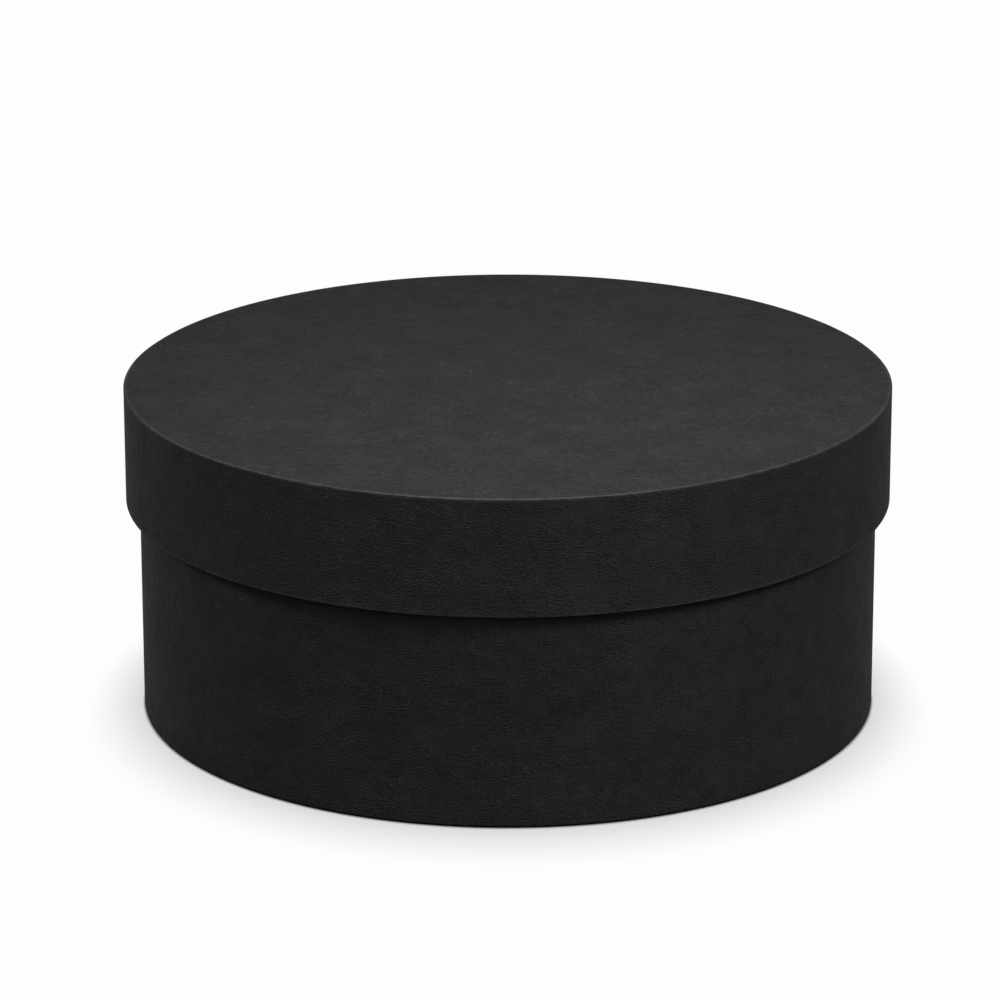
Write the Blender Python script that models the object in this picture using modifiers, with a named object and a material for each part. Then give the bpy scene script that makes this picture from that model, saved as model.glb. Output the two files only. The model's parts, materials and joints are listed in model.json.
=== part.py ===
"""Round flower box: a rolled greyboard box with a lid that slips over it, covered in embossed paper.

Metres, +Z up. The origin is at the centre of the underside, and the front of the box faces -Y.
The box is built as a box maker builds it. A strip of board is rolled and taped into a wall, a
disc of board closes it, and sheets of paper are folded over the edges: a wrap outside, linings
inside, and a disc over the folded tabs. Every sheet is its own piece. Glued layers are drawn with
a small gap between them, which stands for the glue line.
"""

import math

import bmesh
import bpy
from mathutils import Matrix

# Overall sizes
BASE_RADIUS = 0.0964  # over the paper
BASE_HEIGHT = 0.0836  # from the table to the folded rim
LID_DEPTH = 0.0303  # from the lid's top to the lower edge of its rim

# Materials
PAPER = 0.0003
WALL_BOARD = 0.0018
RIM_BOARD = 0.0015
DISC_BOARD = 0.0020
JOINT_TAPE = 0.0002

# Clearances
LAYER_GAP = 0.0003  # between glued layers, and round a disc of board
LID_CLEARANCE = 0.0002  # between the lap on the base's side and the inside of the lid's rim
SEAT_GAP = 0.0003  # between the base's rim and the lid that rests on it
JOINT_SLIT = 0.0003  # between the butted ends of a rolled board
MERGE_DISTANCE = 0.00001  # closes a full turn where its end meets its start

# Paper that is folded out of sight
BASE_TURN_IN = 0.0150
FOOT_TAB = 0.0140
FLOOR_TAB = 0.0080
LID_TURN_IN = 0.0140
LID_SKIRT = 0.0120
LINING_DROP = 0.0040  # from the base's rim down to its lining
STRIP_DROP = 0.0005  # from the lid's top down to the strip round its rim
FOOT_INSET = 0.0025  # from the base's side in to the paper on its underside

# Cuts between tabs, lapped seams and taped joints
TAB_SLIT = 0.0010
TAB_ROOT = 0.0020  # from the fold to the end of each cut
LAP_RISE = 0.0001
LAP_INSET = 0.0020  # from the fold to the end of the lap
TAPE_INSET = 0.0030
OVERRUN = 0.0020  # how far a cutter passes what it cuts

# Facets. A tab, a seam and a tape are whole numbers of facets wide.
SEGMENTS = 72
FOLD_STEPS = 2
FACETS_PER_TAB = 2
TAPE_FACETS = 3
SHARP_ANGLE = 30  # in degrees, above which an edge isn't shaded smooth
BASE_JOINT_FACET = 18
BASE_SEAM_FACET = 14
LID_JOINT_FACET = 22
LID_SEAM_FACET = 17

# Sizes that follow
FACET = 2 * math.pi / SEGMENTS
LAYER = PAPER + LAYER_GAP
FOLD = LAYER  # outer radius of a fold, so that the paper keeps its gap to the board's corner

WALL_OUTER = BASE_RADIUS - LAYER
WALL_INNER = WALL_OUTER - WALL_BOARD
TURN_IN_RADIUS = WALL_INNER - LAYER
LINING_RADIUS = TURN_IN_RADIUS - LAYER

FOOT_FOLD_Z = LAYER
BOARD_FOOT_Z = FOOT_FOLD_Z + LAYER
FLOOR_BOARD_TOP = BOARD_FOOT_Z + DISC_BOARD
FLOOR_TAB_TOP = FLOOR_BOARD_TOP + LAYER
WALL_BOARD_TOP = BASE_HEIGHT - LAYER

LID_LINING_Z = BASE_HEIGHT + SEAT_GAP
LID_BOARD_Z = LID_LINING_Z + LAYER
LID_BOARD_TOP = LID_BOARD_Z + DISC_BOARD
LID_TOP = LID_BOARD_TOP + LAYER
LID_RIM_Z = LID_TOP - LID_DEPTH

LID_INNER = BASE_RADIUS + LAP_RISE + LID_CLEARANCE
RIM_BOARD_INNER = LID_INNER + LAYER
RIM_BOARD_OUTER = RIM_BOARD_INNER + RIM_BOARD
SKIRT_RADIUS = RIM_BOARD_OUTER + LAYER
LID_RADIUS = SKIRT_RADIUS + LAYER


def clear_scene():
    for obj in list(bpy.data.objects):
        bpy.data.objects.remove(obj, do_unlink=True)


def new_collection(name):
    collection = bpy.data.collections.new(name)
    bpy.context.scene.collection.children.link(collection)
    return collection


def new_material(name, colour, roughness):
    material = bpy.data.materials.new(name)
    material.use_nodes = True
    shader = material.node_tree.nodes["Principled BSDF"]
    shader.inputs["Base Color"].default_value = (*colour, 1)
    shader.inputs["Roughness"].default_value = roughness
    shader.inputs["Metallic"].default_value = 0
    return material


def new_empty(name):
    empty = bpy.data.objects.new(name, None)
    PARTS.objects.link(empty)
    return empty


def place(name, mesh, material, parent):
    """A piece of the box, with its own material, under the empty that carries it."""
    obj = bpy.data.objects.new(name, mesh)
    obj.data.materials.append(material)
    obj.parent = parent
    PARTS.objects.link(obj)
    return obj


def fold_arc(centre_radius, centre_z, radius, start, end):
    """Points round a fold, in the plane of radius and height. The angles are in degrees."""
    points = []
    for step in range(FOLD_STEPS + 1):
        angle = math.radians(start + (end - start) * step / FOLD_STEPS)
        points.append(
            (centre_radius + radius * math.cos(angle), centre_z + radius * math.sin(angle))
        )
    return points


def path_mesh(name, path):
    """A line of edges through (radius, height) points, at +X."""
    mesh = bpy.data.meshes.new(name)
    shape = bmesh.new()
    corners = [shape.verts.new((radius, 0, z)) for radius, z in path]
    for first, second in zip(corners, corners[1:]):
        shape.edges.new((first, second))
    shape.to_mesh(mesh)
    shape.free()
    return mesh


def turn(obj, thickness, first_facet=0, facets=SEGMENTS):
    """Turns the path about Z, and gives it thickness behind its visible side, which is on the left."""
    obj.rotation_euler = (0, 0, first_facet * FACET)
    screw = obj.modifiers.new("turn", "SCREW")
    screw.axis = "Z"
    screw.angle = facets * FACET
    screw.steps = facets
    screw.render_steps = facets
    screw.use_merge_vertices = facets == SEGMENTS
    screw.merge_threshold = MERGE_DISTANCE
    solid = obj.modifiers.new("thickness", "SOLIDIFY")
    solid.thickness = thickness
    solid.offset = -1
    solid.use_even_offset = True


def sheet(name, path, thickness, material, parent, first_facet=0, facets=SEGMENTS):
    """A sheet of paper or board that is turned about the box's axis."""
    obj = place(name, path_mesh(name, path), material, parent)
    turn(obj, thickness, first_facet, facets)
    return obj


def disc(name, radius, bottom, thickness, material, parent):
    """A flat round piece, whose corners line up with those of the turned sheets."""
    mesh = bpy.data.meshes.new(name)
    shape = bmesh.new()
    bmesh.ops.create_cone(
        shape,
        cap_ends=True,
        segments=SEGMENTS,
        radius1=radius,
        radius2=radius,
        depth=thickness,
    )
    shape.to_mesh(mesh)
    shape.free()
    mesh.shade_smooth()
    mesh.set_sharp_from_angle(angle=math.radians(SHARP_ANGLE))
    obj = place(name, mesh, material, parent)
    obj.location = (0, 0, bottom + thickness / 2)
    return obj


def as_cutter(obj):
    """A helper that shapes a piece and isn't one itself."""
    CUTTERS.objects.link(obj)
    obj.hide_render = True
    obj.display_type = "WIRE"
    return obj


def slit_cutter(name, width, inner, outer, low, high, facets):
    """Upright blades that cross the middle of each facet in the list, from inner to outer radius."""
    mesh = bpy.data.meshes.new(name)
    shape = bmesh.new()
    for facet in facets:
        turned = Matrix.Rotation((facet + 0.5) * FACET, 4, "Z")
        moved = Matrix.Translation(((inner + outer) / 2, 0, (low + high) / 2))
        scaled = Matrix.Diagonal((outer - inner, width, high - low, 1))
        bmesh.ops.create_cube(shape, size=1, matrix=turned @ moved @ scaled)
    shape.to_mesh(mesh)
    shape.free()
    return as_cutter(bpy.data.objects.new(name, mesh))


def combine(obj, other, operation):
    boolean = obj.modifiers.new(operation.lower(), "BOOLEAN")
    boolean.operation = operation
    boolean.object = other


def cut_tabs(obj, inner, outer, low, high):
    """Cuts a folded edge into tabs, as a box maker does so that it lies flat."""
    facets = range(0, SEGMENTS, FACETS_PER_TAB)
    cutter = slit_cutter(obj.name + "_slits", TAB_SLIT, inner, outer, low, high, facets)
    combine(obj, cutter, "DIFFERENCE")


def cut_joint(obj, inner, outer, low, high, facet):
    """Opens the ring of board where its two ends meet."""
    cutter = slit_cutter(
        obj.name + "_slit",
        JOINT_SLIT,
        inner - OVERRUN,
        outer + OVERRUN,
        low - OVERRUN,
        high + OVERRUN,
        [facet],
    )
    combine(obj, cutter, "DIFFERENCE")


def add_lap(obj, radius, low, high, facet):
    """The seam where the end of a wrap laps its beginning, which leaves a low step in the paper."""
    name = obj.name + "_lap"
    path = [(radius + LAP_RISE, high), (radius + LAP_RISE, low)]
    lap = as_cutter(bpy.data.objects.new(name, path_mesh(name, path)))
    turn(lap, LAP_RISE + PAPER / 2, facet, facets=1)
    combine(obj, lap, "UNION")


def make_base(parent):
    """The open box: a rolled wall, a floor, and the paper that covers them."""
    wall = [(WALL_OUTER, WALL_BOARD_TOP), (WALL_OUTER, BOARD_FOOT_Z)]
    board = sheet("base_wall_board", wall, WALL_BOARD, GREYBOARD, parent)
    cut_joint(
        board, WALL_INNER, WALL_OUTER, BOARD_FOOT_Z, WALL_BOARD_TOP, BASE_JOINT_FACET
    )

    disc(
        "base_floor_board",
        WALL_INNER - LAYER_GAP,
        BOARD_FOOT_Z,
        DISC_BOARD,
        GREYBOARD,
        parent,
    )

    tape_radius = WALL_INNER - LAYER_GAP - JOINT_TAPE
    tape = [
        (tape_radius, FLOOR_TAB_TOP + TAPE_INSET),
        (tape_radius, BASE_HEIGHT - BASE_TURN_IN - TAPE_INSET),
    ]
    first = BASE_JOINT_FACET - TAPE_FACETS // 2
    sheet("base_joint_tape", tape, JOINT_TAPE, KRAFT_TAPE, parent, first, TAPE_FACETS)

    wrap = sheet("base_wrap", base_wrap_path(), PAPER, COVER_PAPER, parent)
    cut_tabs(
        wrap,
        BASE_RADIUS - FOOT_TAB - OVERRUN,
        BASE_RADIUS - TAB_ROOT,
        FOOT_FOLD_Z - LAYER_GAP / 2,
        FOOT_FOLD_Z + PAPER + LAYER_GAP / 2,
    )
    lap_low = FOOT_FOLD_Z + LAP_INSET
    lap_high = BASE_HEIGHT - LAP_INSET
    add_lap(wrap, BASE_RADIUS, lap_low, lap_high, BASE_SEAM_FACET)

    foot_radius = BASE_RADIUS - FOOT_INSET
    disc("base_foot_paper", foot_radius, 0, PAPER, COVER_PAPER, parent)

    lining = sheet("base_wall_lining", base_lining_path(), PAPER, LINING_PAPER, parent)
    cut_tabs(
        lining,
        LINING_RADIUS - FLOOR_TAB - OVERRUN,
        LINING_RADIUS - TAB_ROOT,
        FLOOR_TAB_TOP - PAPER - LAYER_GAP / 2,
        FLOOR_TAB_TOP + LAYER_GAP / 2,
    )

    disc(
        "base_floor_lining",
        LINING_RADIUS - FOLD,
        FLOOR_TAB_TOP + LAYER_GAP,
        PAPER,
        LINING_PAPER,
        parent,
    )


def base_wrap_path():
    """Up the inside, over the rim, down the side and under the foot."""
    return [
        (TURN_IN_RADIUS, BASE_HEIGHT - BASE_TURN_IN),
        *fold_arc(TURN_IN_RADIUS + FOLD, BASE_HEIGHT - FOLD, FOLD, 180, 90),
        *fold_arc(BASE_RADIUS - FOLD, BASE_HEIGHT - FOLD, FOLD, 90, 0),
        *fold_arc(BASE_RADIUS - FOLD, FOOT_FOLD_Z + FOLD, FOLD, 0, -90),
        (BASE_RADIUS - FOOT_TAB, FOOT_FOLD_Z),
    ]


def base_lining_path():
    """Out across the floor, then up the inside of the wall."""
    return [
        (LINING_RADIUS - FLOOR_TAB, FLOOR_TAB_TOP),
        *fold_arc(LINING_RADIUS - FOLD, FLOOR_TAB_TOP + FOLD, FOLD, -90, 0),
        (LINING_RADIUS, BASE_HEIGHT - LINING_DROP),
    ]


def make_lid(parent):
    """The lid: a disc of board in a rolled rim, and the paper that covers them."""
    board_z = LID_RIM_Z + LAYER
    rim = [(RIM_BOARD_OUTER, LID_BOARD_TOP), (RIM_BOARD_OUTER, board_z)]
    board = sheet("lid_rim_board", rim, RIM_BOARD, GREYBOARD, parent)
    cut_joint(
        board, RIM_BOARD_INNER, RIM_BOARD_OUTER, board_z, LID_BOARD_TOP, LID_JOINT_FACET
    )

    disc(
        "lid_top_board",
        RIM_BOARD_INNER - LAYER_GAP,
        LID_BOARD_Z,
        DISC_BOARD,
        GREYBOARD,
        parent,
    )

    tape_radius = RIM_BOARD_OUTER + LAYER_GAP + JOINT_TAPE
    tape = [
        (tape_radius, LID_TOP - LID_SKIRT - LAYER_GAP),
        (tape_radius, board_z + LAYER_GAP),
    ]
    first = LID_JOINT_FACET - TAPE_FACETS // 2
    sheet("lid_joint_tape", tape, JOINT_TAPE, KRAFT_TAPE, parent, first, TAPE_FACETS)

    top = sheet("lid_top_paper", lid_top_path(), PAPER, COVER_PAPER, parent)
    cut_tabs(
        top,
        RIM_BOARD_OUTER + LAYER_GAP / 2,
        SKIRT_RADIUS + LAYER_GAP / 2,
        LID_TOP - LID_SKIRT - OVERRUN,
        LID_TOP - TAB_ROOT,
    )

    wrap = sheet("lid_rim_wrap", lid_wrap_path(), PAPER, COVER_PAPER, parent)
    lap_low = LID_RIM_Z + LAP_INSET
    lap_high = LID_TOP - STRIP_DROP - LAP_INSET
    add_lap(wrap, LID_RADIUS, lap_low, lap_high, LID_SEAM_FACET)

    lining = [
        (LID_INNER, LID_RIM_Z + LID_TURN_IN + LAYER_GAP),
        (LID_INNER, LID_BOARD_Z - LAYER_GAP),
    ]
    sheet("lid_rim_lining", lining, PAPER, LINING_PAPER, parent)

    disc(
        "lid_top_lining",
        LID_INNER - LAYER_GAP,
        LID_LINING_Z,
        PAPER,
        LINING_PAPER,
        parent,
    )


def lid_top_path():
    """Out across the top, then down over the rim board as a skirt of tabs."""
    return [
        (0, LID_TOP),
        *fold_arc(SKIRT_RADIUS - FOLD, LID_TOP - FOLD, FOLD, 90, 0),
        (SKIRT_RADIUS, LID_TOP - LID_SKIRT),
    ]


def lid_wrap_path():
    """Down the outside of the rim, under its edge and up the inside."""
    return [
        (LID_RADIUS, LID_TOP - STRIP_DROP),
        *fold_arc(LID_RADIUS - FOLD, LID_RIM_Z + FOLD, FOLD, 0, -90),
        *fold_arc(LID_INNER + FOLD, LID_RIM_Z + FOLD, FOLD, -90, -180),
        (LID_INNER, LID_RIM_Z + LID_TURN_IN),
    ]


clear_scene()
PARTS = new_collection("round_flower_box")
CUTTERS = new_collection("cutters")

COVER_PAPER = new_material("cover_paper", (0.018, 0.018, 0.018), 0.75)
LINING_PAPER = new_material("lining_paper", (0.014, 0.014, 0.014), 0.9)
GREYBOARD = new_material("greyboard", (0.30, 0.27, 0.23), 0.95)
KRAFT_TAPE = new_material("kraft_tape", (0.35, 0.22, 0.11), 0.8)

make_base(new_empty("base"))
make_lid(new_empty("lid"))
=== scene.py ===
"""Looks of the round flower box.

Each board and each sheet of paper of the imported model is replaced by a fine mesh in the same
place, with its real folds, lapped seams, notched tabs and cut edges, and a procedural finish.
Metres, in the model's own frame: +Z up, the front of the box towards -Y, the seams near +Y.
"""

import json
import math

import bmesh
import bpy
import numpy as np
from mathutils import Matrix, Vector, noise


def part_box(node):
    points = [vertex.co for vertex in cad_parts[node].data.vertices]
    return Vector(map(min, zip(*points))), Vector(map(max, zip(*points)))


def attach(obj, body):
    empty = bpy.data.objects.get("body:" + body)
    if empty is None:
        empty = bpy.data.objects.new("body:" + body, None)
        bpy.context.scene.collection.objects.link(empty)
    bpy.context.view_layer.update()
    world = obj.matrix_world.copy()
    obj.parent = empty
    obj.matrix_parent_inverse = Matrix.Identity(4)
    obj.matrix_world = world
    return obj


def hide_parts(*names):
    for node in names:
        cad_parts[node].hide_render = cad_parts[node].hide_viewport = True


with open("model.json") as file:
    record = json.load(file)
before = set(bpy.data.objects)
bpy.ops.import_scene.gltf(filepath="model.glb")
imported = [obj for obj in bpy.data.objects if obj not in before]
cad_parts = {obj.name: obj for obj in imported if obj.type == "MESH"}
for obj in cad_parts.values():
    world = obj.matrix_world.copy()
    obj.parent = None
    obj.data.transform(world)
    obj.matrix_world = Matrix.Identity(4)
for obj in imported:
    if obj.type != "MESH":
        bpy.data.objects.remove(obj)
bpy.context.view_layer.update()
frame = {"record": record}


# Sizes read from the model
def reach(node):
    """The outer radius of a turned node."""
    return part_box(node)[1].x


def low(node):
    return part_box(node)[0].z


def high(node):
    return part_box(node)[1].z


CAD_PAPER = high("base_foot_paper") - low("base_foot_paper")
CAD_GAP = low("base_floor_lining") - high("base_floor_board") - 2 * CAD_PAPER
BASE_RADIUS = reach("base_wrap")
BASE_HEIGHT = high("base_wrap")
WALL_OUTER = reach("base_wall_board")
WALL_INNER = reach("base_floor_board") + CAD_GAP
TURN_IN_RADIUS = WALL_INNER - CAD_GAP - CAD_PAPER
LINING_RADIUS = reach("base_wall_lining") - CAD_PAPER
FOOT_RADIUS = reach("base_foot_paper")
LID_RADIUS = reach("lid_rim_wrap")
LID_TOP = high("lid_top_paper")
LID_RIM_Z = low("lid_rim_wrap")
LID_INNER = reach("lid_rim_lining") - CAD_PAPER

# Sizes of the drawn sheets
PAPER = 0.0002  # thickness of the papers and tapes
GLUE = 0.00002  # between two glued sheets
MERGE = GLUE / 100  # points nearer than this are one, such as those at the middle of a disc
FOLD = 0.0005  # outer radius of a folded edge
SHARP_FOLD = 0.0003  # and of the sharper folds of the lid
BASE_TURN_IN = 0.0150
LID_TURN_IN = 0.0140
FOOT_TAB = 0.0140
FLOOR_TAB = 0.0080
SKIRT = 0.0120
TAB_ROOT = 0.0015
NOTCH = 0.0016  # width of a notch at the open end
STRIP_DROP = 0.0004  # from the lid's top down to the edge of the strip round its rim
STRIP_WANDER = 0.0002  # how far that edge strays from level
STRIP_LOWEST = -80  # where it is lowest, in degrees round from +X
RIM_DROP = 0.0002  # how far the rim's folded edge hangs below the board's paper in the model
RECESS = 0.00012  # how far a disc sinks where no tabs lie under it
RECESS_RAMP = 0.003  # length over which it does so inside the ring of tabs
LINING_STEP = 0.00015  # how much further out the lining lies below the turned-in paper
LINING_RAMP = 0.002  # length over which it steps out

# Lapped ends, and the rubbed lines along them, and the pale lines along folds, which are partly rubbed
# wear and partly a painted highlight
LAP_LIFT = 0.0001  # how far a lapped end rises, and how far the end beneath it sinks
LAP_RAMP = 0.006  # length over which it does so
LAP_WEAR = 0.0003  # width of the rubbed line along a lapped end
LAP_RUB = (0.15, 0.5)  # its strength one width in from the end, and at the end
WEAR_AND_HIGHLIGHT_WIDTH = 0.0004  # width of the pale line along a fold, partly rubbed wear and partly a painted highlight
FRONT = -90  # the front of the box, in degrees round from +X, where the pale lines along folds, partly wear and partly painted highlight, have other strengths
FRONT_SPREAD = 25  # and how far round from there, in degrees

# Unevenness of the sheets and of their cut edges. Each ripple has its size, its height as a
# multiple of the sheet's own, and its step from the sheet's seed.
WAVE = 0.00003  # how far a sheet sinks in its waves
WAVE_SIZE = 0.03
DISC_WAVE = 0.00004
DISC_WAVE_SIZE = 0.05
EDGE_RIPPLES = ((0.004, 1, 5), (0.02, 2, 9))
END_RIPPLES = ((0.012, 3, 3),)
EDGE_REACH = 0.0015  # how far in from a cut edge its unevenness reaches
SEED_STEP = 17.3  # how far apart in the noise two neighbouring seeds are

# Places of the seams and joints, in degrees round from +X. The back of the box is at 90.
BASE_SEAM = 70
LID_SEAM = 85
LINING_SEAM = 98
LID_LINING_SEAM = 108
BASE_JOINT = 92.5
LID_JOINT = 112.5
LAP = 5  # width of a lap
TAB = 10  # width of a tab
SLIT = 0.18  # width of the slit where the ends of a board meet
TAPE = 15

# Fineness of the meshes
FINE = 0.5  # degrees between columns on the lid
COARSE = 1.0  # and on the other pieces
LINE_STEP = 0.004
DISC_LINE_STEP = 0.003
FOLD_STEPS = 8
SHARP = 40  # degrees between faces, above which an edge shows

# Markings of the papers. Heights and shades are multiples of the paper's own relief and shade.
CLOUD_SIZE = 0.016
PATCH_SIZE = 0.004
TOOTH_SIZE = 0.00025
STRENGTH_SIZE = 0.009  # of the places where the grain is stronger or weaker
SWAY_SIZE = 0.005  # of the bends in the rows of marks
CREASE_STRETCH = (0.6, 1.1, 1.0)
RIDGE_STRETCH = (0.5, 0.6, 1.0)
CREASE_HEIGHT = 1.4
TOOTH_HEIGHT = 0.25
PATCH_HEIGHT = 1.5
DARKEST = 0.55
PALEST = 2.15
# shade of the pale lines along folds and lapped ends, as a multiple of the paper's: rubbed wear, and
# along folds partly a painted highlight
WEAR_AND_HIGHLIGHT_SHADE = 2.6
PAPER_ROUGHNESS = (0.62, 0.78)

# Colours of the boards and tapes
PULP_DARK = (0.25, 0.23, 0.20, 1)
PULP_PALE = (0.36, 0.33, 0.28, 1)
FLECK_DARK = (0.10, 0.09, 0.08, 1)
FLECK_PALE = (0.52, 0.49, 0.44, 1)
TAPE_DARK = (0.28, 0.17, 0.085, 1)
TAPE_PALE = (0.38, 0.24, 0.13, 1)
FIBRE_PALE = (0.46, 0.31, 0.18, 1)

# The studio
BACKGROUND = 0.982  # the white of the floor and backdrop
FLOOR_SHADOWS = ((0.0013, 0.8), (0.027, 0.31))  # how far each shadow reaches and how dark it is
SIDE_REACH = 0.54  # how far they reach beside the box, as a share of that in front of it
SHADOW_SAMPLES = 6
FLOOR_HALF = 6  # half the side of the floor
FLOOR_DROP = 0.00002  # how far it lies below the foot of the box
FLOOR_SHADE = 0.1  # the grey with which it throws light back on the box
WORLD_LIGHT = 0.12
LAMP_AIM = (0, 0, 0.05)
OVERHEAD_RADIUS = 0.1
CAMERA_PLACE = (0, -1.2952, 0.4839)
CAMERA_TURN = (71.632, 0.0746, 0.0665)
CAMERA_LENS = 187.04
CAMERA_SENSOR = 36
WHITE = (1, 1, 1, 1)


# Shapes of the sheets
def rounded(corners, fold, wear_and_highlight_strengths, line_step):
    """The outline through the corners, each rounded to the radius of a fold.

    The corners are (radius, height), and the visible side is on the left of the way along them.
    Gives the points, the way each faces, the distance along to each, and how pale a line it gets
    at the front of the box and elsewhere: each fold gets a pale line where it begins, partly rubbed
    wear and partly a painted highlight, with the two strengths given for it.
    """
    corners = [np.array(c, float) for c in corners]
    points, facing, folds = [], [], []

    def straight(start, end, after_fold, before_fold):
        length = np.linalg.norm(end - start)
        way = (end - start) / length
        count = max(1, math.ceil(length / line_step))
        places = {length * n / count for n in range(count + 1)}
        for near in (WEAR_AND_HIGHLIGHT_WIDTH, 2 * WEAR_AND_HIGHLIGHT_WIDTH):
            if after_fold and near < length / 2:
                places.add(near)
            if before_fold and near < length / 2:
                places.add(length - near)
        for place in sorted(places)[after_fold:]:
            points.append(start + way * place)
            facing.append((-way[1], way[0]))

    start = corners[0]
    for before, corner, after in zip(corners, corners[1:], corners[2:]):
        way_in = (corner - before) / np.linalg.norm(corner - before)
        way_out = (after - corner) / np.linalg.norm(after - corner)
        turn = math.atan2(way_in[0] * way_out[1] - way_in[1] * way_out[0], float(way_in @ way_out))
        begin = corner - way_in * fold * math.tan(abs(turn) / 2)
        centre = begin + np.array((-way_in[1], way_in[0])) * math.copysign(fold, turn)
        straight(start, begin, bool(folds), True)
        folds.append(len(points) - 1)
        for n in range(1, FOLD_STEPS + 1):
            angle = turn * n / FOLD_STEPS
            cos, sin = math.cos(angle), math.sin(angle)
            spin = np.array(((cos, -sin), (sin, cos)))
            points.append(centre + spin @ (begin - centre))
            facing.append(tuple(spin @ np.array((-way_in[1], way_in[0]))))
        start = points[-1]
    straight(start, corners[-1], bool(folds), False)
    points, facing = np.array(points), np.array(facing)
    steps = np.linalg.norm(np.diff(points, axis=0), axis=1)
    along = np.concatenate([[0], np.cumsum(steps)])
    wear_and_highlight = np.zeros((len(points), 2))
    for strengths, n in zip(wear_and_highlight_strengths, folds):
        wear_and_highlight += np.outer(np.exp(-(((along - along[n] - fold / 3) / WEAR_AND_HIGHLIGHT_WIDTH) ** 2)), strengths)
    return points, facing, along, wear_and_highlight


def noise_at(points, size, seed):
    """Smooth noise from -1 to 1 at each point of a grid, with features of the given size."""
    flat = points.reshape(-1, 3) / size + seed * SEED_STEP
    values = [noise.noise(Vector(p)) for p in flat]
    return np.array(values).reshape(points.shape[:-1])


def uneven(points, ripples, height, seed):
    """The sum of some ripples at each point of a grid."""
    return sum(
        share * height * noise_at(points, size, seed + seed_step)
        for size, share, seed_step in ripples
    )


def turned_points(points, facing, angles, offset):
    """The grid that an outline makes as it is turned: a row for each point, a column for each angle."""
    radius = points[:, :1] + facing[:, :1] * offset
    height = points[:, 1:] + facing[:, 1:] * offset
    return np.stack([radius * np.cos(angles), radius * np.sin(angles), height], axis=-1)


def faces_of(index):
    """The faces between the rows and columns of a grid of point numbers."""
    quads = [index[:-1, :-1], index[1:, :-1], index[1:, 1:], index[:-1, 1:]]
    return np.stack(quads, axis=-1).reshape(-1, 4)


def closed_sheet(name, front, back, flat, wear_and_highlight, quads):
    """A sheet with a front, a back and a wall along every cut edge."""
    count = len(front)
    edges = {(int(q[k]), int(q[(k + 1) % 4])) for q in quads for k in range(4)}
    walls = [
        (end, start, start + count, end + count)
        for start, end in sorted(edges)
        if (end, start) not in edges
    ]
    faces = [*quads.tolist(), *(quads[:, ::-1] + count).tolist(), *walls]
    mesh = bpy.data.meshes.new(name)
    mesh.from_pydata(np.concatenate([front, back]).tolist(), [], faces)
    corner = np.zeros(len(mesh.loops), int)
    mesh.loops.foreach_get("vertex_index", corner)
    layer = mesh.uv_layers.new(name="sheet")
    layer.uv.foreach_set("vector", np.concatenate([flat, flat])[corner].ravel())
    # the pale lines along folds and lapped ends: rubbed wear, and along folds partly a painted
    # highlight
    mark = mesh.attributes.new("wear_and_highlight", "FLOAT", "POINT")
    mark.data.foreach_set("value", np.concatenate([wear_and_highlight, wear_and_highlight]))
    shape = bmesh.new()
    shape.from_mesh(mesh)
    bmesh.ops.remove_doubles(shape, verts=shape.verts, dist=MERGE)
    shape.to_mesh(mesh)
    shape.free()
    mesh.shade_smooth()
    mesh.set_sharp_from_angle(angle=math.radians(SHARP))
    obj = bpy.data.objects.new(name, mesh)
    bpy.context.scene.collection.objects.link(obj)
    return obj


def ease(share):
    """A share from 0 to 1, with a soft start and end."""
    return share * share * (3 - 2 * share)


def at_front(angles):
    """1 at the front of the box and 0 elsewhere, with a soft change between them."""
    away = (np.degrees(angles) - FRONT + 180) % 360 - 180
    return np.exp(-((away / FRONT_SPREAD) ** 2))


def columns_round(seam, span, step, radius):
    """How far round from its start each column of a sheet is, and its angle from +X.

    A lapped end has two more columns, one and two widths of its rubbed line in from it.
    """
    if seam is not None:
        turned = np.radians(np.arange(0, 360 + LAP + step / 2, step))
        rubbed = turned[-1] - np.array((2, 1)) * LAP_WEAR / radius
        turned = np.concatenate([turned[:-1], rubbed, turned[-1:]])
        return turned, turned + math.radians(seam)
    if span is not None:
        count = max(1, round((span[1] - span[0]) / step))
        angles = np.radians(np.linspace(span[0], span[1], count + 1))
        return angles - angles[0], angles
    angles = np.radians(np.arange(0, 360, step))
    return angles, angles


def lap_offset(turned, radius):
    """How far a lapped strip stands off round its turn, in radians from its start."""
    ramp = LAP_RAMP / radius
    lap = math.radians(LAP)
    sinking = 1 - np.clip((turned - lap) / ramp, 0, 1)
    rising = np.clip((turned - 2 * math.pi + ramp) / ramp, 0, 1)
    return LAP_LIFT * ease(rising) - (LAP_LIFT + GLUE) * ease(sinking)


def edge_slide(points, along, angles, edge_wave, wander, seed):
    """How far each point slides along the outline, because the nearest cut edge is uneven."""
    ring = np.stack([np.cos(angles), np.sin(angles), 0 * angles], axis=-1)
    ripple = uneven(ring * float(points[:, 0].max()), EDGE_RIPPLES, edge_wave, seed)
    at_start = (points[0, 0] > 0) * np.exp(-along / EDGE_REACH)
    at_end = (points[-1, 0] > 0) * np.exp(-(along[-1] - along) / EDGE_REACH)
    slide = (at_start - at_end)[:, None] * ripple
    if wander is not None:
        slide += at_start[:, None] * wander(angles)
    return slide


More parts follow.
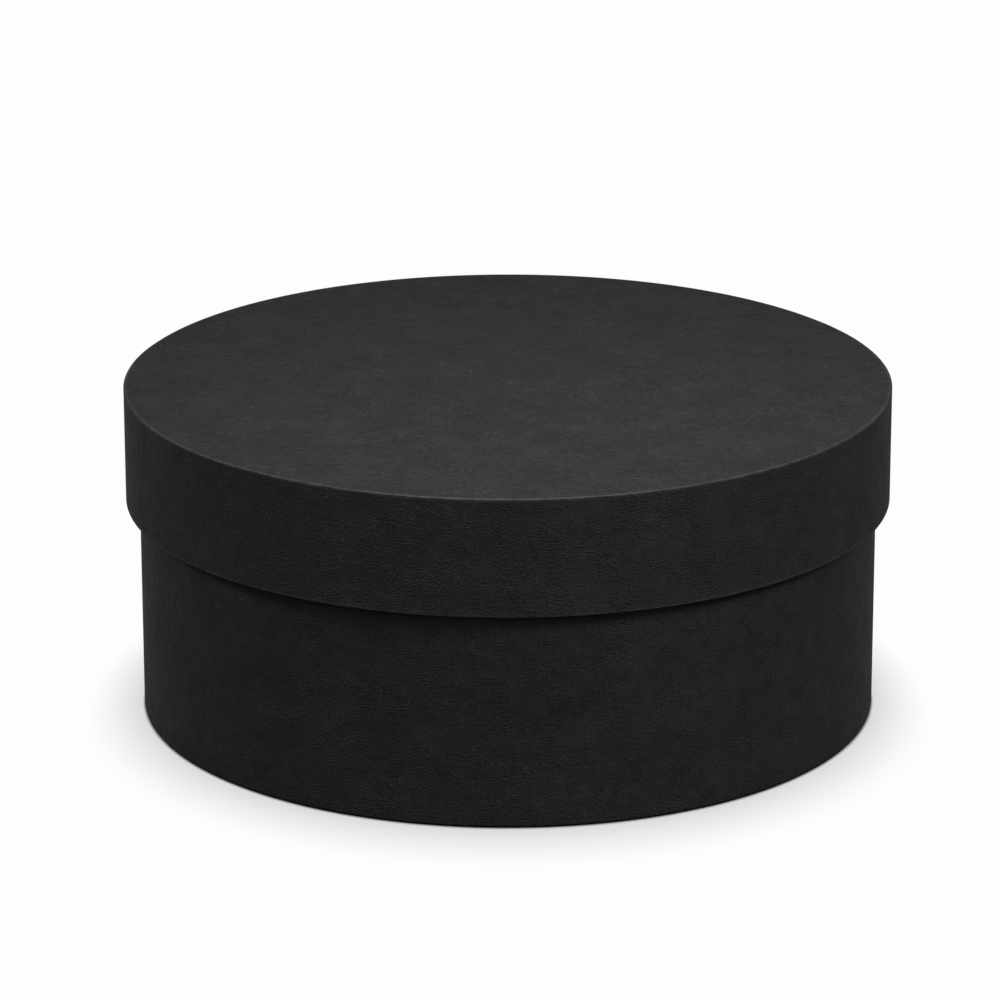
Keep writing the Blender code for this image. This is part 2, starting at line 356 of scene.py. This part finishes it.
def turned_sheet(
    name,
    corners,
    thickness=PAPER,
    fold=FOLD,
    wear_and_highlight_strengths=(),
    step=COARSE,
    line_step=LINE_STEP,
    seam=None,
    span=None,
    tab_from=None,
    wave=WAVE,
    wave_size=WAVE_SIZE,
    edge_wave=0.0,
    wander=None,
    extra=None,
    seed=0,
):
    """A sheet or board turned about the box's axis.

    With a seam, its end laps its start at that angle. With a span, it goes from one angle to
    another. Otherwise it is a full disc. From the distance tab_from on it is notched into tabs.
    It sinks by up to wave, its cut edges are uneven by edge_wave, and wander says how far its
    first edge strays as well. What extra gives is how much further each point stands off.
    """
    points, facing, along, wear_and_highlight = rounded(corners, fold, wear_and_highlight_strengths, line_step)
    turned, angles = columns_round(seam, span, step, corners[0][0])
    closed = seam is None and span is None
    columns = len(angles)
    widest = float(points[:, 0].max())
    offset = np.zeros((len(points), columns))
    if seam is not None:
        offset += lap_offset(turned, widest)
    at_rest = turned_points(points, facing, angles, offset)
    offset += wave * (noise_at(at_rest, wave_size, seed) - 1) / 2
    if extra is not None:
        offset += extra(points, angles)
    tangent = np.gradient(points, axis=0)
    tangent /= np.linalg.norm(tangent, axis=1)[:, None]
    slide = edge_slide(points, along, angles, edge_wave, wander, seed)
    turned_in = np.zeros((len(points), columns))
    # the pale fold lines, partly wear and partly a painted highlight, take one strength at the front of
    # the box and another elsewhere
    wear_and_highlight = wear_and_highlight @ np.stack([at_front(angles), 1 - at_front(angles)])
    if seam is not None:
        wear_and_highlight[:, -2:] += LAP_RUB
        near_end = np.clip(1 - (turned[-1] - turned) * widest / EDGE_REACH / 2, 0, 1)
        waver = uneven(at_rest[:, :1], END_RIPPLES, edge_wave, seed)
        turned_in = waver * near_end / widest

    def grid(rows, spread, shift):
        """Points for some rows, with angles spread over columns, standing off by shift."""
        moved = points[rows, None, :] + facing[rows, None, :] * shift[..., None]
        moved = moved + tangent[rows, None, :] * slide[rows][:, spread[1], None]
        return np.stack(
            [
                moved[..., 0] * np.cos(spread[0]),
                moved[..., 0] * np.sin(spread[0]),
                moved[..., 1],
            ],
            axis=-1,
        )

    def laid_flat(rows, spread):
        """Where each point lies on the flat sheet, in metres."""
        if closed:
            centre = along[int(points[:, 0].argmin())]
            distance = abs(along[rows, None] - centre)
            return np.stack([distance * np.cos(spread[0]), distance * np.sin(spread[0])], axis=-1)
        across = spread[0] * widest
        return np.stack([across, along[rows, None] + 0 * across], axis=-1)

    last = len(points) - 1
    root = last if tab_from is None else int(np.searchsorted(along, tab_from))
    rows = np.arange(root + 1)
    whole = (angles + turned_in[rows], np.arange(columns))
    front = [grid(rows, whole, offset[rows]).reshape(-1, 3)]
    back = [grid(rows, whole, offset[rows] - thickness).reshape(-1, 3)]
    flat = [laid_flat(rows, whole).reshape(-1, 2)]
    marks = [wear_and_highlight[rows].ravel()]
    index = np.arange((root + 1) * columns).reshape(root + 1, columns)
    if closed:
        index = np.concatenate([index, index[:, :1]], axis=1)
    quads = [faces_of(index)]
    if root < last:
        rows = np.arange(root + 1, last + 1)
        used = index.max() + 1
        per_tab = round(TAB / step)
        opening = (along[rows] - along[root]) / (along[last] - along[root])
        round_again = np.concatenate([angles, angles[:1] + 2 * math.pi])
        for first in range(0, index.shape[1] - 1, per_tab):
            columns_here = np.arange(first, min(first + per_tab, index.shape[1] - 1) + 1)
            here = columns_here % columns
            spread_angles = round_again[columns_here]
            centre = (spread_angles[0] + spread_angles[-1]) / 2
            half = (spread_angles[-1] - spread_angles[0]) / 2
            narrow = 1 - opening * NOTCH / 2 / (half * points[rows, 0])
            tab_angles = centre + (spread_angles - centre) * narrow[:, None]
            spread = (tab_angles, here)
            shift = offset[rows][:, here]
            front.append(grid(rows, spread, shift).reshape(-1, 3))
            back.append(grid(rows, spread, shift - thickness).reshape(-1, 3))
            flat.append(laid_flat(rows, spread).reshape(-1, 2))
            marks.append(wear_and_highlight[rows][:, here].ravel())
            own = np.arange(used, used + tab_angles.size).reshape(tab_angles.shape)
            quads.append(faces_of(np.concatenate([index[root:, columns_here], own])))
            used += tab_angles.size
    return closed_sheet(
        name,
        np.concatenate(front),
        np.concatenate(back),
        np.concatenate(flat),
        np.concatenate(marks),
        np.concatenate(quads),
    )


# Nodes of the materials
class Tree:
    """Adds nodes to a material and links their inputs."""

    def __init__(self, material):
        material.use_nodes = True
        self.tree = material.node_tree
        self.tree.nodes.clear()

    def fill(self, socket, value):
        """Links an input to another node's output, or sets its value."""
        if isinstance(value, bpy.types.NodeSocket):
            self.tree.links.new(value, socket)
        else:
            socket.default_value = value

    def add(self, kind, settings=None, **inputs):
        """A new node. Each input goes by its name, or by an underscore and its number."""
        node = self.tree.nodes.new("ShaderNode" + kind)
        for name, value in (settings or {}).items():
            setattr(node, name, value)
        for name, value in inputs.items():
            key = int(name[1:]) if name[1:].isdigit() else name.replace("_", " ")
            self.fill(node.inputs[key], value)
        return node

    def math(self, operation, first, second=0.0, third=0.0):
        node = self.add("Math", {"operation": operation}, _0=first, _1=second, _2=third)
        return node.outputs[0]

    def blend(self, share, low_colour, high_colour):
        """Goes from the low colour to the high one. They are inputs 6 and 7 of a Mix node."""
        node = self.add("Mix", {"data_type": "RGBA"}, _0=share, _6=low_colour, _7=high_colour)
        return node.outputs[2]

    def noise(self, where, size, detail, roughness=0.5):
        node = self.add(
            "TexNoise",
            Vector=where,
            Scale=1 / size,
            Detail=detail,
            Roughness=roughness,
        )
        return node.outputs[0]

    def scaled(self, where, factors):
        node = self.add("VectorMath", {"operation": "MULTIPLY"}, _0=where, _1=factors)
        return node.outputs[0]

    def ramp(self, value, start, end, low_value=0.0, high_value=1.0):
        """Goes softly from the low value to the high one, as the value goes from start to end."""
        node = self.add(
            "MapRange",
            {"interpolation_type": "SMOOTHSTEP"},
            Value=value,
            From_Min=start,
            From_Max=end,
            To_Min=low_value,
            To_Max=high_value,
        )
        return node.outputs[0]

    def stack(self, *layers):
        """The sum of some markings, each times its height."""
        total = 0.0
        for marking, height in layers:
            total = self.math("MULTIPLY_ADD", marking, height, total)
        return total

    def toned(self, tone, markings, weights):
        """A tone made darker and paler by some markings, as much as their weights say."""
        for marking, weight in zip(markings, weights):
            change = self.math("MULTIPLY_ADD", marking, weight, -weight / 2)
            tone = self.math("ADD", change, tone)
        return tone

    def surface(self, height, **looks):
        """The shader with the given looks, and with bumps of the given height in metres."""
        bump = self.add("Bump", Strength=1.0, Distance=1.0, Height=height).outputs[0]
        shader = self.add("BsdfPrincipled", Normal=bump, **looks)
        self.add("OutputMaterial", Surface=shader.outputs[0])


def grey(value):
    return (value, value, value, 1)


def new_material(name):
    """A new material, its nodes, and the place of each point on the flat sheet."""
    material = bpy.data.materials.new(name)
    t = Tree(material)
    return material, t, t.add("UVMap", {"uv_map": "sheet"}).outputs[0]


def paper_material(name, shade, gloss, grain, relief, cloud_weights, grain_weights, bend):
    """Black paper that is dyed through: cloudy, with a leathery grain and thin ridges.

    The grain is the size of the fine marks along the sheet and across it, and bend says how far
    their rows sway. The cloud weights say how much the clouds and the patches change the shade,
    and the grain weights the fine marks, the tooth, the creases and the ridges. The grain is
    stronger in some places than in others.
    """
    material, t, where = new_material(name)
    sway = t.add("TexNoise", Vector=where, Scale=1 / SWAY_SIZE, Detail=1.0).outputs[1]
    swayed = t.add("VectorMath", {"operation": "MULTIPLY_ADD"}, _0=sway, _1=bend, _2=where)
    marks = t.scaled(swayed.outputs[0], (1 / grain[0], 1 / grain[1], 1.0))
    clouds = t.noise(where, CLOUD_SIZE, detail=3.0, roughness=0.6)
    patches = t.noise(where, PATCH_SIZE, detail=2.0)
    fine = t.noise(marks, size=1.0, detail=0.0)
    tooth = t.noise(where, TOOTH_SIZE, detail=2.0, roughness=0.6)
    creases = t.noise(t.scaled(marks, CREASE_STRETCH), size=1.0, detail=1.0)
    bands = t.noise(t.scaled(marks, RIDGE_STRETCH), size=1.0, detail=0.0)
    from_ridge = t.math("ABSOLUTE", t.math("SUBTRACT", bands, 0.5))
    ridges = t.ramp(from_ridge, start=0.0, end=0.1, low_value=1.0, high_value=0.0)
    places = t.noise(where, STRENGTH_SIZE, detail=3.0, roughness=0.6)
    strength = t.ramp(places, start=0.35, end=0.65, low_value=0.65, high_value=1.25)

    tone = t.toned(0.0, (fine, tooth, creases, ridges), grain_weights)
    tone = t.math("MULTIPLY_ADD", tone, strength, 0.5)
    tone = t.toned(tone, (clouds, patches), cloud_weights)
    dyed = t.blend(t.math("MULTIPLY", tone, tone), grey(shade * DARKEST), grey(shade * PALEST))
    # pale lines along folds and lapped ends, blended into the colour: rubbed wear, and along folds
    # partly a painted highlight
    wear_and_highlight = t.add("Attribute", {"attribute_name": "wear_and_highlight"}).outputs[2]
    wear_and_highlight_rub = t.math("MULTIPLY", wear_and_highlight, t.ramp(patches, start=0.3, end=0.6, low_value=0.5))

    height = t.stack(
        (fine, relief),
        (creases, relief * CREASE_HEIGHT),
        (ridges, relief * grain_weights[3]),
        (tooth, relief * TOOTH_HEIGHT),
    )
    height = t.math("MULTIPLY", height, strength)
    t.surface(
        t.math("MULTIPLY_ADD", patches, relief * PATCH_HEIGHT, height),
        Base_Color=t.blend(wear_and_highlight_rub, dyed, grey(shade * WEAR_AND_HIGHLIGHT_SHADE)),
        Roughness=t.ramp(fine, 0.3, 0.7, *PAPER_ROUGHNESS),
        Specular_IOR_Level=gloss,
    )
    return material


def board_material(name):
    """Greyboard: recycled grey pulp with darker and paler flecks."""
    material, t, where = new_material(name)
    pulp = t.noise(where, size=0.004, detail=4.0, roughness=0.6)
    flecks = t.noise(t.scaled(where, (1.0, 2.5, 1.0)), size=0.0009, detail=2.0)
    dark = t.ramp(flecks, start=0.62, end=0.72, high_value=0.6)
    pale = t.ramp(flecks, start=0.38, end=0.28, high_value=0.5)
    colour = t.blend(t.ramp(pulp, start=0.3, end=0.7), PULP_DARK, PULP_PALE)
    colour = t.blend(dark, colour, FLECK_DARK)
    colour = t.blend(pale, colour, FLECK_PALE)
    t.surface(t.stack((pulp, 0.00006), (flecks, 0.00003)), Base_Color=colour, Roughness=0.95)
    return material


def tape_material(name):
    """Brown gummed paper tape."""
    material, t, where = new_material(name)
    ribs = t.noise(t.scaled(where, (6.0, 1.0, 1.0)), size=0.003, detail=2.0)
    fibres = t.noise(where, size=0.0007, detail=3.0, roughness=0.6)
    colour = t.blend(t.ramp(ribs, start=0.3, end=0.7), TAPE_DARK, TAPE_PALE)
    colour = t.blend(t.ramp(fibres, start=0.55, end=0.75, high_value=0.4), colour, FIBRE_PALE)
    t.surface(t.stack((ribs, 0.00003), (fibres, 0.00002)), Base_Color=colour, Roughness=0.75)
    return material


# Pieces
def stands_for(obj, node, material):
    """Puts a piece in the place of a node of the model, with the node's body and the given material."""
    obj.data.materials.append(material)
    record = frame["record"]
    body = next(b for b, nodes in record["behaviour"]["bodies"].items() if node in nodes)
    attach(obj, body)
    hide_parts(node)


def ring_board(name, node, inner, outer, joint, board):
    """A strip of board rolled into a ring, whose ends meet in a slit."""
    ring = turned_sheet(
        name,
        [(outer, high(node)), (outer, low(node))],
        thickness=outer - inner,
        span=(joint + SLIT / 2, joint + 360 - SLIT / 2),
        wave=0.00002,
        seed=31,
    )
    stands_for(ring, node, board)


def disc_board(name, node, board):
    disc = turned_sheet(
        name,
        [(0, high(node)), (reach(node), high(node))],
        thickness=high(node) - low(node),
        wave=0.0,
        line_step=0.02,
    )
    stands_for(disc, node, board)


def tape_strip(name, node, corners, joint, seed, tape):
    """A strip of tape over the joint of a board."""
    strip = turned_sheet(
        name,
        corners,
        span=(joint - TAPE / 2, joint + TAPE / 2),
        edge_wave=0.00004,
        seed=seed,
    )
    stands_for(strip, node, tape)


def telegraph(inner_edge, outer_edge):
    """A disc glued over tabs sinks where there is none: between them, and inside their ring."""

    def shape(points, angles):
        radius = points[:, :1]
        inside = np.clip((inner_edge - radius) / RECESS_RAMP, 0, 1)
        width = np.clip((radius - inner_edge) / (outer_edge - inner_edge), 0, 1)
        notch = NOTCH * (1 - width) + GLUE
        phase = np.degrees(angles) % TAB
        gap = np.radians(np.minimum(phase, TAB - phase)) * radius
        between = np.clip(1 - gap / (notch / 2), 0, 1)
        return -RECESS * ease(np.maximum(inside, between))

    return shape


def over_turn_in(points, angles):
    """The base's lining lies over the edge of the turned-in paper, and further out below it."""
    edge = BASE_HEIGHT - BASE_TURN_IN
    share = np.clip((edge + LINING_RAMP / 2 - points[:, 1:]) / LINING_RAMP, 0, 1)
    return -LINING_STEP * ease(share) + 0 * angles


def strip_wander(angles):
    """How far down the upper edge of the strip round the lid strays."""
    return STRIP_WANDER * np.cos(2 * (angles - math.radians(STRIP_LOWEST)))


def build_base(cover, lining, board, tape):
    ring_board("base_rolled_wall", "base_wall_board", WALL_INNER, WALL_OUTER, BASE_JOINT, board)
    disc_board("base_floor_disc", "base_floor_board", board)
    tape_radius = WALL_INNER - CAD_GAP - PAPER
    tape_strip(
        "base_tape_strip",
        "base_joint_tape",
        [(tape_radius, low("base_joint_tape")), (tape_radius, high("base_joint_tape"))],
        BASE_JOINT,
        seed=3,
        tape=tape,
    )
    foot_z = PAPER + GLUE
    wrap = [
        (TURN_IN_RADIUS, BASE_HEIGHT - BASE_TURN_IN),
        (TURN_IN_RADIUS, BASE_HEIGHT),
        (BASE_RADIUS, BASE_HEIGHT),
        (BASE_RADIUS, foot_z),
        (BASE_RADIUS - FOOT_TAB, foot_z),
    ]
    length = sum(math.dist(a, b) for a, b in zip(wrap, wrap[1:])) - 3 * FOLD * (2 - math.pi / 2)
    stands_for(
        turned_sheet(
            "base_wrap_sheet",
            wrap,
            # the pale line on each fold, at the front and elsewhere: partly rubbed wear, partly a
            # painted highlight
            wear_and_highlight_strengths=((0.8, 0.4), (0.8, 0.4), (0.0, 0.0)),
            seam=BASE_SEAM,
            tab_from=length - FOOT_TAB + FOLD + TAB_ROOT,
            edge_wave=0.00005,
            seed=7,
        ),
        "base_wrap",
        cover,
    )
    stands_for(
        turned_sheet(
            "base_foot_disc",
            [(FOOT_RADIUS, 0), (0, 0)],
            wave=0.0,
            line_step=DISC_LINE_STEP,
            extra=telegraph(BASE_RADIUS - FOOT_TAB, BASE_RADIUS),
        ),
        "base_foot_paper",
        cover,
    )
    tabs_z = low("base_floor_lining") - GLUE
    stands_for(
        turned_sheet(
            "base_wall_lining_sheet",
            [
                (LINING_RADIUS - FLOOR_TAB, tabs_z),
                (LINING_RADIUS, tabs_z),
                (LINING_RADIUS, high("base_wall_lining")),
            ],
            seam=LINING_SEAM,
            edge_wave=0.00006,
            line_step=0.0015,
            extra=over_turn_in,
            seed=11,
        ),
        "base_wall_lining",
        lining,
    )
    floor_radius = reach("base_floor_lining")
    stands_for(
        turned_sheet(
            "base_floor_lining_disc",
            [(0, high("base_floor_lining")), (floor_radius, high("base_floor_lining"))],
            wave=DISC_WAVE,
            wave_size=DISC_WAVE_SIZE,
            line_step=DISC_LINE_STEP,
            edge_wave=0.00005,
            extra=telegraph(LINING_RADIUS - FLOOR_TAB, LINING_RADIUS),
            seed=13,
        ),
        "base_floor_lining",
        lining,
    )


def build_lid(cover, top, lining, board, tape):
    rim_outer = reach("lid_rim_board")
    rim_inner = reach("lid_top_board") + CAD_GAP
    ring_board("lid_rolled_rim", "lid_rim_board", rim_inner, rim_outer, LID_JOINT, board)
    disc_board("lid_board_disc", "lid_top_board", board)
    tape_radius = rim_outer + CAD_GAP + PAPER
    tape_strip(
        "lid_tape_strip",
        "lid_joint_tape",
        [(tape_radius, high("lid_joint_tape")), (tape_radius, low("lid_joint_tape"))],
        LID_JOINT,
        seed=17,
        tape=tape,
    )
    skirt = LID_RADIUS - PAPER - GLUE
    stands_for(
        turned_sheet(
            "lid_top_sheet",
            [(0, LID_TOP), (skirt, LID_TOP), (skirt, LID_TOP - SKIRT)],
            step=FINE,
            fold=SHARP_FOLD,
            # the pale line on the top's fold, at the front and elsewhere: partly rubbed wear, partly a
            # painted highlight
            wear_and_highlight_strengths=((1.0, 0.5),),
            tab_from=skirt + TAB_ROOT,
            wave=DISC_WAVE,
            wave_size=DISC_WAVE_SIZE,
            seed=19,
        ),
        "lid_top_paper",
        top,
    )
    stands_for(
        turned_sheet(
            "lid_rim_wrap_sheet",
            [
                (LID_RADIUS, LID_TOP - STRIP_DROP),
                (LID_RADIUS, LID_RIM_Z - RIM_DROP),
                (LID_INNER, LID_RIM_Z - RIM_DROP),
                (LID_INNER, LID_RIM_Z + LID_TURN_IN),
            ],
            step=FINE,
            fold=SHARP_FOLD,
            # the pale line on each fold of the rim, at the front and elsewhere: partly rubbed wear,
            # partly a painted highlight
            wear_and_highlight_strengths=((0.25, 0.55), (0.3, 0.3)),
            seam=LID_SEAM,
            edge_wave=0.00003,
            wander=strip_wander,
            seed=23,
        ),
        "lid_rim_wrap",
        cover,
    )
    stands_for(
        turned_sheet(
            "lid_rim_lining_sheet",
            [(LID_INNER, low("lid_rim_lining")), (LID_INNER, high("lid_rim_lining"))],
            seam=LID_LINING_SEAM,
            edge_wave=0.00005,
            seed=27,
        ),
        "lid_rim_lining",
        lining,
    )
    stands_for(
        turned_sheet(
            "lid_top_lining_disc",
            [(reach("lid_top_lining"), low("lid_top_lining")), (0, low("lid_top_lining"))],
            wave=DISC_WAVE,
            wave_size=DISC_WAVE_SIZE,
            edge_wave=0.00005,
            seed=29,
        ),
        "lid_top_lining",
        lining,
    )


# Studio
def ray_is_seen(t):
    """1 for rays that show the backdrop itself: straight from the camera, mirrored or let through."""
    path = t.add("LightPath")
    seen = t.math("MAXIMUM", path.outputs["Is Camera Ray"], path.outputs["Is Glossy Ray"])
    return t.math("MAXIMUM", seen, path.outputs["Is Transmission Ray"])


def in_front(t):
    """1 straight in front of the box, and down to 0 beside and behind it."""
    place = t.add("NewGeometry").outputs["Position"]
    way = t.add("VectorMath", {"operation": "NORMALIZE"}, _0=place).outputs[0]
    ahead = t.add("VectorMath", {"operation": "DOT_PRODUCT"}, _0=way, _1=(0, -1, 0))
    return t.math("MAXIMUM", ahead.outputs["Value"])


def build_floor():
    shape = bmesh.new()
    bmesh.ops.create_grid(shape, x_segments=1, y_segments=1, size=FLOOR_HALF)
    mesh = bpy.data.meshes.new("floor")
    shape.to_mesh(mesh)
    shape.free()
    floor = bpy.data.objects.new("floor", mesh)
    floor.location = (0, 0, -FLOOR_DROP)
    bpy.context.scene.collection.objects.link(floor)
    material = bpy.data.materials.new("white_floor")
    t = Tree(material)
    light = BACKGROUND
    front = in_front(t)
    for distance, depth in FLOOR_SHADOWS:
        at_side = distance * SIDE_REACH
        here = t.math("MULTIPLY_ADD", front, distance - at_side, at_side)
        sky = t.add("AmbientOcclusion", {"samples": SHADOW_SAMPLES}, Distance=here)
        kept = t.math("MULTIPLY_ADD", sky.outputs["AO"], 2 * depth, 1 - 2 * depth)
        light = t.math("MULTIPLY", t.math("MAXIMUM", kept), light)
    shown = t.add("Emission", Color=WHITE, Strength=light).outputs[0]
    lit = t.add("BsdfDiffuse", Color=grey(FLOOR_SHADE)).outputs[0]
    mixed = t.add("MixShader", _0=ray_is_seen(t), _1=lit, _2=shown)
    t.add("OutputMaterial", Surface=mixed.outputs[0])
    mesh.materials.append(material)


def build_world():
    world = bpy.data.worlds.new("studio")
    bpy.context.scene.world = world
    t = Tree(world)
    shown = t.add("Background", Color=WHITE, Strength=BACKGROUND).outputs[0]
    light = t.add("Background", Color=WHITE, Strength=WORLD_LIGHT).outputs[0]
    mixed = t.add("MixShader", _0=ray_is_seen(t), _1=light, _2=shown)
    t.add("OutputWorld", Surface=mixed.outputs[0])


def add_lamp(data, place, aim, power):
    data.energy = power
    lamp = bpy.data.objects.new(data.name, data)
    lamp.location = place
    lamp.rotation_euler = (Vector(aim) - Vector(place)).to_track_quat("-Z", "Y").to_euler()
    lamp.visible_camera = False
    bpy.context.scene.collection.objects.link(lamp)


def softbox(name, place, size, power):
    """A round softbox that faces the middle of the box."""
    data = bpy.data.lights.new(name, "AREA")
    data.shape = "DISK"
    data.size = size
    add_lamp(data, place, LAMP_AIM, power)


def overhead(place, cone, power):
    """A lamp with a soft-edged cone that hangs above the front of the box and shines down."""
    data = bpy.data.lights.new("overhead", "SPOT")
    data.spot_size = math.radians(cone)
    data.spot_blend = 1
    data.shadow_soft_size = OVERHEAD_RADIUS
    add_lamp(data, place, (place[0], place[1], 0), power)


def build_lamps():
    overhead(place=(0.03, -0.12, 1.1), cone=27, power=37)
    softbox("left", place=(-1.0, -0.03, 0.74), size=0.25, power=5.1)
    softbox("right", place=(0.75, -0.67, 0.85), size=0.35, power=6.8)
    softbox("front", place=(0, -1.25, 0.96), size=0.95, power=6.6)
    softbox("back", place=(0, 1.0, 1.2), size=0.4, power=5.5)
    softbox("low_back", place=(0, 0.9, 0.045), size=0.08, power=2.0)


def build_camera():
    data = bpy.data.cameras.new("camera")
    data.sensor_width = CAMERA_SENSOR
    data.lens = CAMERA_LENS
    camera = bpy.data.objects.new("camera", data)
    camera.location = CAMERA_PLACE
    camera.rotation_euler = [math.radians(a) for a in CAMERA_TURN]
    bpy.context.scene.collection.objects.link(camera)
    bpy.context.scene.camera = camera


cover_paper = paper_material(
    "black_cover_paper",
    shade=0.0247,
    gloss=0.015,
    grain=(0.0008, 0.00046),
    relief=0.00023,
    cloud_weights=(0.38, 0.25),
    grain_weights=(0.55, 0.55, 0.2, 0.05),
    bend=(0.0012, 0.0012, 0),
)
top_paper = paper_material(
    "black_top_paper",
    shade=0.024,
    gloss=0.005,
    grain=(0.0010, 0.0012),
    relief=0.00023,
    cloud_weights=(0.4, 0.2),
    grain_weights=(0.65, 0.5, 0.2, 0.05),
    bend=(0.002, 0.002, 0),
)
lining_paper = paper_material(
    "black_lining_paper",
    shade=0.020,
    gloss=0.02,
    grain=(0.0014, 0.0014),
    relief=0.00004,
    cloud_weights=(0.4, 0.3),
    grain_weights=(0.8, 0.6, 0.2, 0.0),
    bend=(0.002, 0.002, 0),
)
greyboard = board_material("greyboard")
kraft_tape = tape_material("kraft_tape")

build_base(cover_paper, lining_paper, greyboard, kraft_tape)
build_lid(cover_paper, top_paper, lining_paper, greyboard, kraft_tape)
build_floor()
build_world()
build_lamps()
build_camera()

scene = bpy.context.scene
scene.view_settings.view_transform = "Standard"
